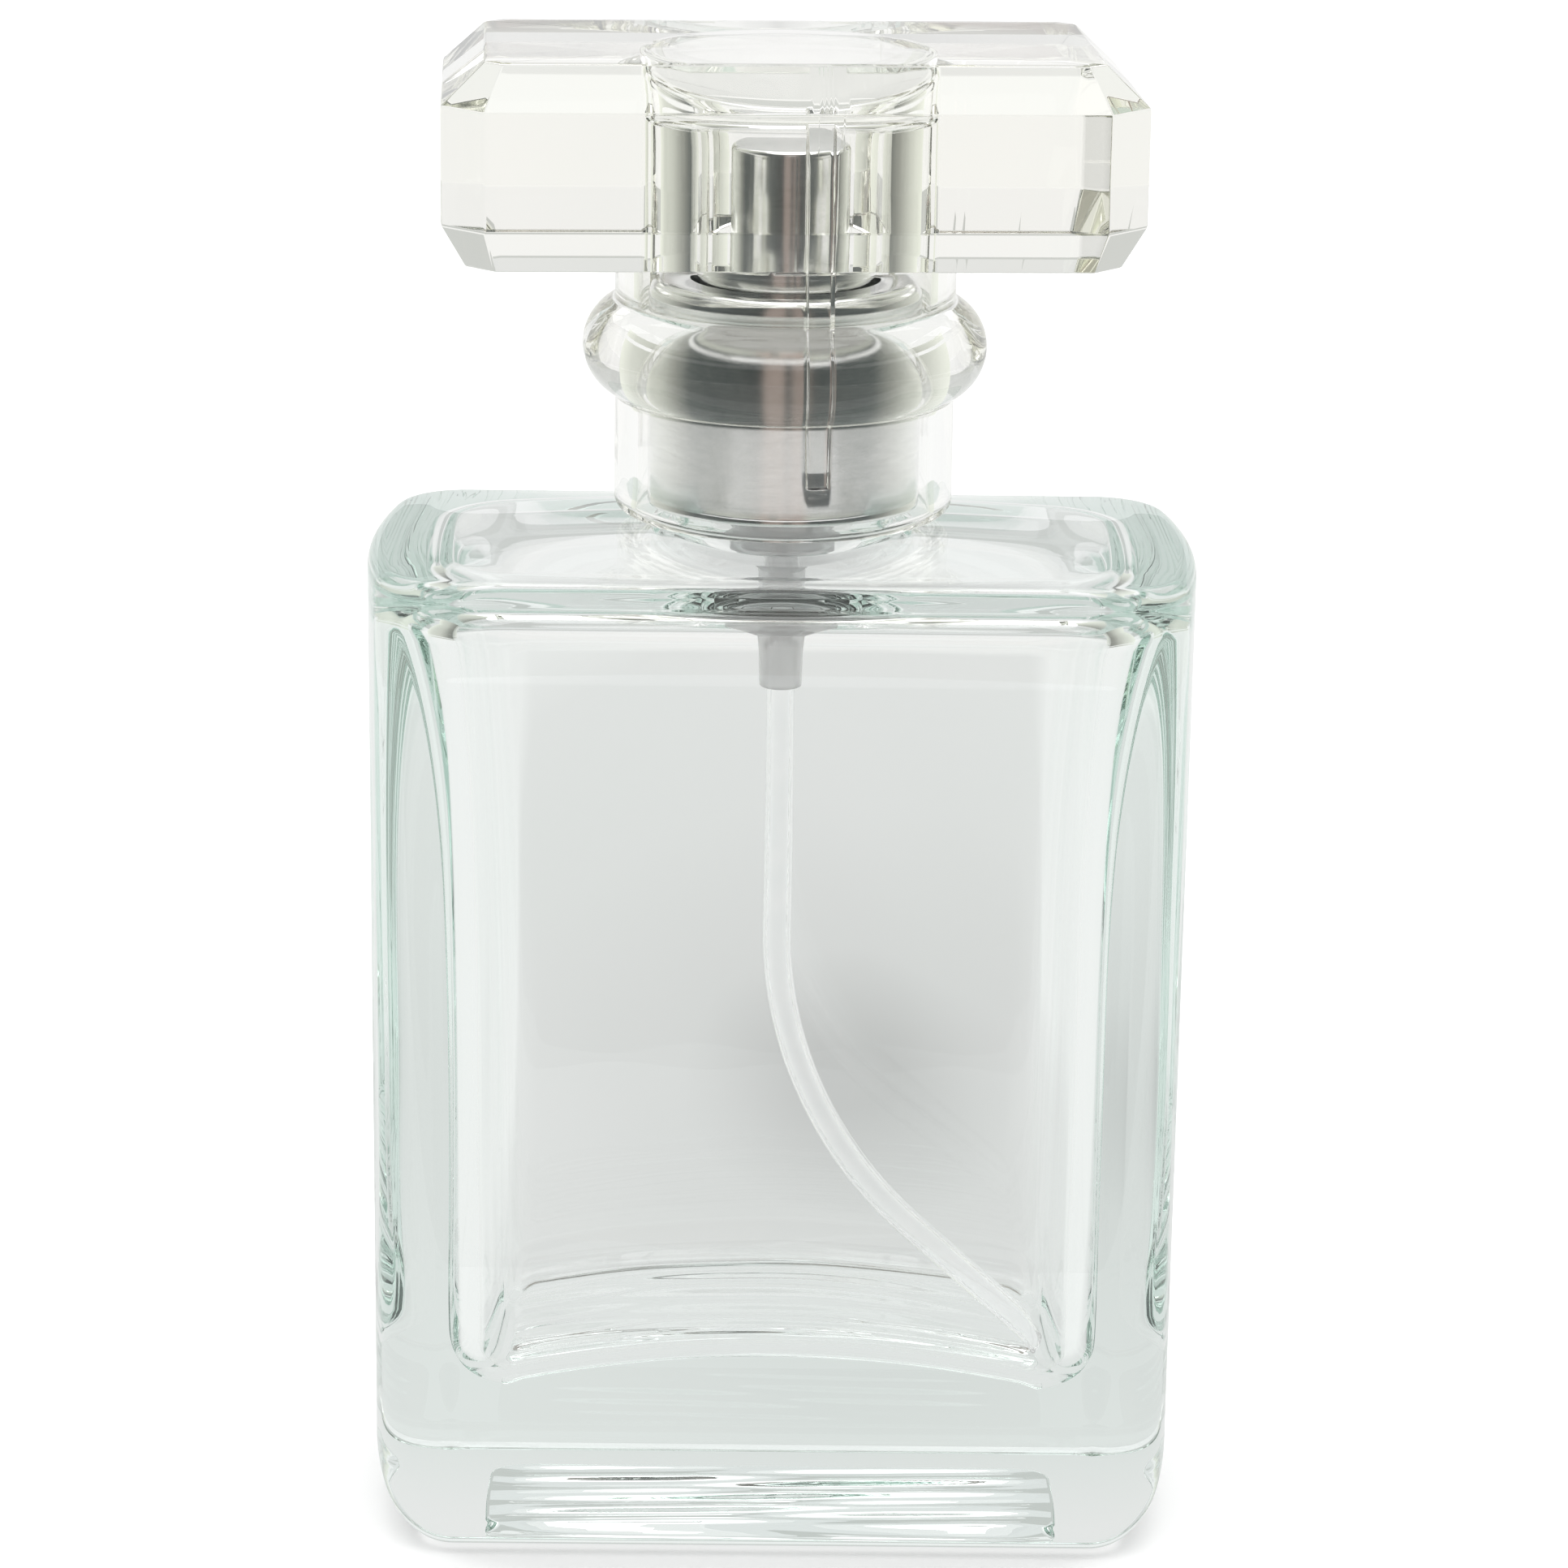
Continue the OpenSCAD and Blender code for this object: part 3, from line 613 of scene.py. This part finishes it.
def make_actuator():
    """The actuator's drawn shell, closed at the top, with the nozzle's hole through its side."""
    inner = ACTUATOR_R - ACTUATOR_WALL
    turns = np.linspace(0, 2 * math.pi, 144, endpoint=False)
    edge = (ACTUATOR_R - ACTUATOR_EDGE_R, ACTUATOR_TOP - ACTUATOR_EDGE_R)
    ceiling = ACTUATOR_TOP - ACTUATOR_WALL
    profile = (
        [(1, ceiling), (inner - 0.15, ceiling), (inner, ceiling - 0.15)]
        + [(inner, ACTUATOR_LOW + 0.05), (inner + 0.05, ACTUATOR_LOW)]
        + [(ACTUATOR_R - 0.05, ACTUATOR_LOW), (ACTUATOR_R, ACTUATOR_LOW + 0.05)]
        + [(ACTUATOR_R, z) for z in np.linspace(ACTUATOR_LOW + 1, edge[1] - 0.1, 8)]
        + arc(*edge, ACTUATOR_EDGE_R, 0, 90, 8)
        + [(edge[0] - 0.1, ACTUATOR_TOP), (2, ACTUATOR_TOP)]
    )
    rings = [level(circle_at(r, turns), z) for r, z in profile]
    shell = loft("actuator_shell", rings)
    cut_nozzle_hole(shell)
    flat_normals(shell)
    return shell


def cut_nozzle_hole(shell):
    turn = math.radians(NOZZLE_TURN)
    course = [np.array([s * math.cos(turn), s * math.sin(turn), NOZZLE_Z]) for s in (3.5, 5, 7)]
    cutter = sweep("cutter", course, (NOZZLE_HOLE_R,), sides=64)
    mod = shell.modifiers.new("hole", "BOOLEAN")
    mod.operation = "DIFFERENCE"
    mod.object = cutter
    bpy.context.view_layer.update()
    bake(shell)
    bpy.data.objects.remove(cutter)


def tube_course():
    """The middle line of the dip tube, from the pump down to its tip."""
    plane = [(0, z) for z in np.linspace(TUBE_TOP, BEND_Z, 12, endpoint=False)]
    for t in np.radians(np.linspace(0, BEND_ANGLE, 41)):
        plane.append((BEND_R * (1 - math.cos(t)), BEND_Z - BEND_R * math.sin(t)))
    lean = math.radians(BEND_ANGLE)
    out, z = plane[-1]
    for on in np.linspace(0, TUBE_END, 8)[1:]:
        plane.append((out + on * math.sin(lean), z - on * math.cos(lean)))
    turn = math.radians(BEND_TURN)
    return [(out * math.cos(turn), out * math.sin(turn), z) for out, z in plane]


def make_dip_tube():
    tube = sweep("tube", tube_course(), (TUBE_R, TUBE_BORE_R), sides=32)
    flat_normals(tube)
    return tube


def spring_course(coil, wire, turns, low, high, steps=32):
    """A helix whose first and last turns lie flat on their seats."""
    pitch = 2.1 * wire
    course = []
    for i in range(turns * steps + 1):
        t = i / steps
        flat = min(t, 1) + max(t - (turns - 1), 0)
        rise = min(max(t - 1, 0), turns - 2) / (turns - 2)
        z = low + wire + flat * pitch + rise * (high - low - 2 * wire - 2 * pitch)
        course.append((coil * math.cos(2 * math.pi * t), coil * math.sin(2 * math.pi * t), z))
    return course


def make_spring(name, node, coil):
    low, high = span(node, 2)
    radius, wire, turns = coil
    return sweep(name, spring_course(radius, wire, turns, low, high), (wire,), sides=12)


# ---------------------------------------------------------------- materials


class Shader:
    """A Principled material with a few short calls to add procedural detail."""

    def __init__(self, name, **values):
        self.material = bpy.data.materials.new(name)
        self.material.use_nodes = True
        self.nodes = self.material.node_tree.nodes
        self.links = self.material.node_tree.links
        self.main = self.nodes["Principled BSDF"]
        for key, value in values.items():
            self.main.inputs[key.replace("_", " ")].default_value = value
        self.place = self.nodes.new("ShaderNodeTexCoord").outputs["Object"]

    def noise(self, scale, detail=3.0, stretch=(1, 1, 1)):
        mapping = self.nodes.new("ShaderNodeMapping")
        mapping.inputs["Scale"].default_value = stretch
        self.links.new(self.place, mapping.inputs["Vector"])
        node = self.nodes.new("ShaderNodeTexNoise")
        node.inputs["Scale"].default_value = scale
        node.inputs["Detail"].default_value = detail
        self.links.new(mapping.outputs["Vector"], node.inputs["Vector"])
        return node.outputs["Fac"]

    def spread(self, value, low, high, socket):
        """Spreads a noise value over a range of the shader's own socket."""
        node = self.nodes.new("ShaderNodeMapRange")
        node.inputs["To Min"].default_value = low
        node.inputs["To Max"].default_value = high
        self.links.new(value, node.inputs["Value"])
        self.links.new(node.outputs["Result"], self.main.inputs[socket])

    def tint(self, value, first, second, socket="Base Color"):
        ramp = self.nodes.new("ShaderNodeValToRGB")
        ramp.color_ramp.elements[0].color = (*first, 1)
        ramp.color_ramp.elements[1].color = (*second, 1)
        ramp.color_ramp.elements[0].position = 0.3
        ramp.color_ramp.elements[1].position = 0.7
        self.links.new(value, ramp.inputs["Fac"])
        self.links.new(ramp.outputs["Color"], self.main.inputs[socket])

    def bump(self, value, strength, distance):
        node = self.nodes.new("ShaderNodeBump")
        node.inputs["Strength"].default_value = strength
        node.inputs["Distance"].default_value = distance * MM
        self.links.new(value, node.inputs["Height"])
        self.links.new(node.outputs["Normal"], self.main.inputs["Normal"])

    def absorb(self, color, density):
        node = self.nodes.new("ShaderNodeVolumeAbsorption")
        node.inputs["Color"].default_value = (*color, 1)
        node.inputs["Density"].default_value = density
        output = self.nodes["Material Output"]
        self.links.new(node.outputs["Volume"], output.inputs["Volume"])


def flint_glass():
    s = Shader("flint_glass", Roughness=0.0, IOR=1.52, Transmission_Weight=1.0)
    s.tint(s.noise(40), (1.0, 1.0, 1.0), (0.985, 0.995, 0.99))
    s.spread(s.noise(900), 0.0, 0.012, "Roughness")
    s.absorb((0.6, 0.79, 0.72), 9)
    return s.material


def clear_acrylic():
    s = Shader("clear_acrylic", Roughness=0.0, IOR=1.49, Transmission_Weight=1.0)
    s.tint(s.noise(60), (1.0, 1.0, 1.0), (0.995, 0.992, 0.98))
    s.spread(s.noise(1200), 0.0, 0.015, "Roughness")
    s.absorb((0.94, 0.93, 0.72), 6)
    return s.material


def bright_aluminium():
    s = Shader("bright_aluminium", Metallic=1.0, Roughness=0.14)
    s.tint(s.noise(500, stretch=(1, 1, 6)), (0.84, 0.845, 0.84), (0.9, 0.905, 0.9))
    s.spread(s.noise(1500, stretch=(1, 1, 12)), 0.1, 0.2, "Roughness")
    s.bump(s.noise(3000, stretch=(1, 1, 15)), 0.08, 0.01)
    return s.material


def ferrule_aluminium():
    s = Shader("ferrule_aluminium", Metallic=1.0, Roughness=0.3)
    s.tint(s.noise(600), (0.88, 0.88, 0.88), (0.93, 0.93, 0.93))
    s.spread(s.noise(2200, stretch=(1, 1, 8)), 0.25, 0.4, "Roughness")
    return s.material


def translucent_plastic(name, weight, painted_glow, first, second):
    """Plastic that lets light through. The glow is painted light: an even emission that stands for
    light scattered inside it.
    """
    # The emission is the painted glow. It shines the same whatever light falls on the plastic.
    s = Shader(name, IOR=1.3, Transmission_Weight=weight, Emission_Strength=painted_glow)
    s.main.inputs["Emission Color"].default_value = (1, 1, 1, 1)
    s.tint(s.noise(700), first, second)
    s.spread(s.noise(1800), 0.1, 0.18, "Roughness")
    return s.material


def natural_plastic():
    # The pump's natural plastic gets a weak painted glow of 0.05.
    return translucent_plastic("natural_plastic", 0.6, 0.05, (0.93, 0.94, 0.94), (0.97, 0.97, 0.97))


def tube_plastic():
    # The dip tube gets a painted glow of 0.09.
    return translucent_plastic("tube_plastic", 0.85, 0.09, (0.96, 0.97, 0.97), (0.99, 0.99, 0.99))


def solid_plastic(name, first, second, rough):
    s = Shader(name, IOR=1.5)
    s.tint(s.noise(900), first, second)
    s.spread(s.noise(2500), *rough, "Roughness")
    s.bump(s.noise(4000), 0.1, 0.02)
    return s.material


def white_plastic():
    return solid_plastic("white_plastic", (0.86, 0.86, 0.85), (0.91, 0.91, 0.9), (0.3, 0.42))


def seal_rubber():
    return solid_plastic("seal_rubber", (0.03, 0.03, 0.033), (0.05, 0.05, 0.053), (0.5, 0.7))


def gasket_foam():
    return solid_plastic("gasket_foam", (0.8, 0.8, 0.78), (0.87, 0.87, 0.85), (0.6, 0.8))


def steel(name, rough):
    s = Shader(name, Metallic=1.0)
    s.tint(s.noise(1500), (0.66, 0.66, 0.67), (0.74, 0.74, 0.75))
    s.spread(s.noise(4000), *rough, "Roughness")
    return s.material


def floor_white():
    s = Shader("floor_white", Roughness=0.6, Emission_Strength=0.12)
    s.main.inputs["Emission Color"].default_value = (1, 1, 1, 1)
    s.tint(s.noise(3), (0.93, 0.93, 0.93), (0.94, 0.94, 0.94))
    return s.material


MATERIALS = {
    "flint_glass": flint_glass(),
    "clear_acrylic": clear_acrylic(),
    "bright_aluminium": bright_aluminium(),
    "ferrule_aluminium": ferrule_aluminium(),
    "natural_plastic": natural_plastic(),
    "white_plastic": white_plastic(),
    "tube_plastic": tube_plastic(),
    "seal_rubber": seal_rubber(),
    "gasket_foam": gasket_foam(),
    "spring_steel": steel("spring_steel", (0.15, 0.25)),
    "ball_steel": steel("ball_steel", (0.04, 0.08)),
}


def dress(obj, slot):
    obj.data.materials.clear()
    obj.data.materials.append(MATERIALS[slot])


def dress_nodes():
    """Gives every CAD node the material of its own slot."""
    for part in frame["record"]["subparts"]:
        dress(frame["nodes"][part["node"]], part["material_slot"])


def stand_for(obj, node, body):
    """Puts a finer piece in a CAD node's place, on its body and with its material."""
    parts = frame["record"]["subparts"]
    slot = next(p["material_slot"] for p in parts if p["node"] == node)
    dress(obj, slot)
    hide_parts(node)
    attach(obj, body)
    return obj


# ---------------------------------------------------------------- pieces


def build_pieces():
    stand_for(make_bottle(), "glass_bottle", "root")
    stand_for(make_cap(), "cap_shell", "cap")
    stand_for(make_collar(), "collar_cover", "root")
    stand_for(make_actuator(), "actuator_cover", "actuator")
    stand_for(make_dip_tube(), "dip_tube", "root")
    spring = stand_for(make_spring("spring_return", "return_spring", RETURN_COIL),
                       "return_spring", "root")
    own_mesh(spring)
    spring = stand_for(make_spring("spring_priming", "priming_spring", PRIMING_COIL),
                       "priming_spring", "plunger")
    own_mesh(spring)


# ---------------------------------------------------------------- studio

SCREEN_R = 230
SCREEN_SPAN = 136
PAPER_Z = 0.4
PAPER_EDGE = -228
WALL_DEPTH = 1500


def lying(half_w, near, far, z):
    """The corners of a level rectangle."""
    return [(-half_w, near, z), (half_w, near, z), (half_w, far, z), (-half_w, far, z)]


def add_floor():
    floor = new_object("floor", lying(4000, -4000, 4000, 0), [(0, 1, 2, 3)])
    floor.data.materials.append(floor_white())


def aim(obj, place, target):
    obj.location = Vector(place) * MM
    obj.rotation_euler = (Vector(target) * MM - obj.location).to_track_quat("-Z", "Y").to_euler()


def add_light(name, place, target, size, power):
    light = bpy.data.lights.new(name, "AREA")
    light.shape = "RECTANGLE"
    light.size, light.size_y = size[0] * MM, size[1] * MM
    light.energy = power
    obj = bpy.data.objects.new(name, light)
    bpy.context.scene.collection.objects.link(obj)
    aim(obj, place, target)


def only_in_gloss(obj, material):
    """Something lit beside the set that only shows in the glass, the plastic and the metal."""
    obj.data.materials.append(material)
    obj.visible_camera = False
    obj.visible_shadow = False
    obj.visible_diffuse = False


def glowing(name, texture, mapping, stops):
    """A matt emitter coloured by one of Blender's gradients. Stops are (share, colour)."""
    s = Shader(name, Roughness=1.0, Emission_Strength=1.0)
    s.main.inputs["Base Color"].default_value = (0, 0, 0, 1)
    place = s.nodes.new("ShaderNodeMapping")
    for key, value in mapping.items():
        place.inputs[key].default_value = value
    s.links.new(s.place, place.inputs["Vector"])
    gradient = s.nodes.new("ShaderNodeTexGradient")
    gradient.gradient_type = texture
    s.links.new(place.outputs["Vector"], gradient.inputs["Vector"])
    ramp = s.nodes.new("ShaderNodeValToRGB")
    elements = ramp.color_ramp.elements
    while len(elements) < len(stops):
        elements.new(0.5)
    for element, (share, color) in zip(elements, stops):
        element.position = share
        element.color = (*color, 1)
    s.links.new(gradient.outputs["Fac"], ramp.inputs["Fac"])
    s.links.new(ramp.outputs["Color"], s.main.inputs["Emission Color"])
    return s.material


def add_screen(name, low, high, tones):
    """A stretch of the room in front of the set, as the metal shows it. Each tone is a direction in
    degrees, counted from the front towards the right, a brightness and a hue."""
    turns = np.radians(np.linspace(-SCREEN_SPAN, SCREEN_SPAN, 81))
    points = [(SCREEN_R * math.cos(t), SCREEN_R * math.sin(t), z) for z in (low, high) for t in turns]
    count = len(turns)
    faces = [(j, j + 1, j + 1 + count, j + count) for j in range(count - 1)]
    screen = new_object(name, points, faces)
    screen.rotation_euler.z = -math.pi / 2
    stops = [(0.5 + turn / 360, tuple(tone * c for c in hue)) for turn, tone, hue in tones]
    only_in_gloss(screen, glowing(name + "_tones", "RADIAL", {}, stops))


def add_front():
    """The table's edge, and the dark room beyond it with warm strips near the middle. The room is
    in two parts, and the white surroundings show between them."""
    grey, warm, cool = (0.97, 1.0, 0.9), (1.0, 0.82, 0.73), (0.85, 1.0, 0.98)
    sides = [(-136, 0.92, grey), (-124, 0.7, grey), (-108, 0.6, grey)]
    add_screen("near_screen", 1, 12, sides + [
        (-92, 0.58, grey), (-62, 0.6, grey), (-45, 0.7, grey),
        (-28, 0.62, grey), (-13, 0.6, warm), (-10, 0.3, grey), (-6, 0.3, grey),
        (-3, 0.55, warm), (14, 0.52, warm), (20, 0.7, grey), (30, 0.74, grey),
        (38, 0.55, grey), (62, 0.52, grey), (74, 0.4, grey), (88, 0.45, grey), (108, 0.62, grey),
        (136, 0.92, grey)])
    dark_room = sides + [
        (-90, 0.3, grey), (-76, 0.09, cool), (-18, 0.05, cool),
        (-14, 0.32, warm), (-2, 0.34, warm), (2, 0.07, cool), (8, 0.3, warm), (16, 0.28, warm),
        (20, 0.07, cool), (70, 0.09, cool), (88, 0.3, grey), (108, 0.6, grey), (136, 0.92, grey)]
    add_screen("low_screen", 12, 18, dark_room)
    add_screen("far_screen", 27, 570, dark_room)


def card(name, corners, tone):
    """A flat stretch of the room in one even tone."""
    board = new_object(name, corners, [(0, 1, 2, 3)])
    only_in_gloss(board, glowing(name + "_tone", "SPHERICAL", {}, [(0.0, tone), (1.0, tone)]))


def standing_card(name, low, high, tone):
    half_w, y = 1400, WALL_DEPTH
    corners = [(-half_w, y, low), (half_w, y, low), (half_w, y, high), (-half_w, y, high)]
    card(name, corners, tone)


def add_table_paper():
    """Grey paper under and behind the bottle, darkest behind it and a little to the right, and
    white paper farther back."""
    half_w, far, end = 1500, 300, 3900
    paper = new_object("table_paper", lying(half_w, PAPER_EDGE, far, PAPER_Z), [(0, 1, 2, 3)])
    tones = [(0.0, 0.9), (0.15, 0.8), (0.45, 0.77), (0.75, 0.7), (0.95, 0.53)]
    mapping = {"Location": (-0.12, -0.62, 0), "Scale": (1 / (60 * MM), 1 / (130 * MM), 1)}
    stops = [(share, (tone, tone * 1.01, tone)) for share, tone in tones]
    only_in_gloss(paper, glowing("paper_tones", "SPHERICAL", mapping, stops))
    card("far_paper", lying(half_w, far, end, PAPER_Z), (0.93, 0.93, 0.92))


def add_back_wall():
    """The wall behind the set. Its lower part is the darker."""
    standing_card("low_wall", 330, 690, (0.6, 0.615, 0.6))
    standing_card("high_wall", 690, 1300, (0.8, 0.81, 0.81))


def add_front_mat():
    """The front of the paper, which is darker."""
    mat = new_object("front_mat", lying(226, PAPER_EDGE + 2, -62, 2 * PAPER_Z), [(0, 1, 2, 3)])
    mapping = {"Rotation": (0, 0, -math.pi / 2), "Scale": (1, 5, 1)}
    stops = [(0.0, (0.4, 0.4, 0.38)), (1.0, (0.62, 0.62, 0.6))]
    only_in_gloss(mat, glowing("mat_tones", "LINEAR", mapping, stops))


def add_studio():
    middle = (0, 0, 50)
    add_floor()
    add_light("top", (0, 150, 900), middle, (1200, 900), 3.5)
    add_light("left", (-600, 260, 200), middle, (260, 600), 1.6)
    add_light("right", (600, 260, 200), middle, (260, 600), 1.6)
    add_front()
    add_table_paper()
    add_back_wall()
    add_front_mat()
    world = bpy.data.worlds.new("world")
    world.use_nodes = True
    back = world.node_tree.nodes["Background"]
    back.inputs["Color"].default_value = (1, 1, 1, 1)
    back.inputs["Strength"].default_value = 0.95
    bpy.context.scene.world = world


def add_camera():
    """A long lens a third of a metre in front, looking down at the bottle."""
    place = Vector((-2.77, -319.9, 145.6)) * MM
    yaw, pitch, roll = (math.radians(a) for a in (0.556, 16.69, 0.779))
    camera = bpy.data.cameras.new("camera")
    camera.lens = 115.8
    camera.clip_start = 0.01
    obj = bpy.data.objects.new("camera", camera)
    bpy.context.scene.collection.objects.link(obj)
    turn = (Matrix.Rotation(-yaw, 4, "Z") @ Matrix.Rotation(math.pi / 2 - pitch, 4, "X")
            @ Matrix.Rotation(roll, 4, "Z"))
    obj.matrix_world = Matrix.Translation(place) @ turn
    bpy.context.scene.camera = obj


def set_light_paths():
    """Enough bounces for the glass, the cap and what is inside them."""
    scene = bpy.context.scene
    scene.view_settings.view_transform = "Standard"
    scene.cycles.max_bounces = 40
    scene.cycles.transmission_bounces = 40
    scene.cycles.glossy_bounces = 40
    scene.cycles.diffuse_bounces = 4


add_camera()
dress_nodes()
build_pieces()
add_studio()
set_light_paths()

bpy.context.view_layer.update()
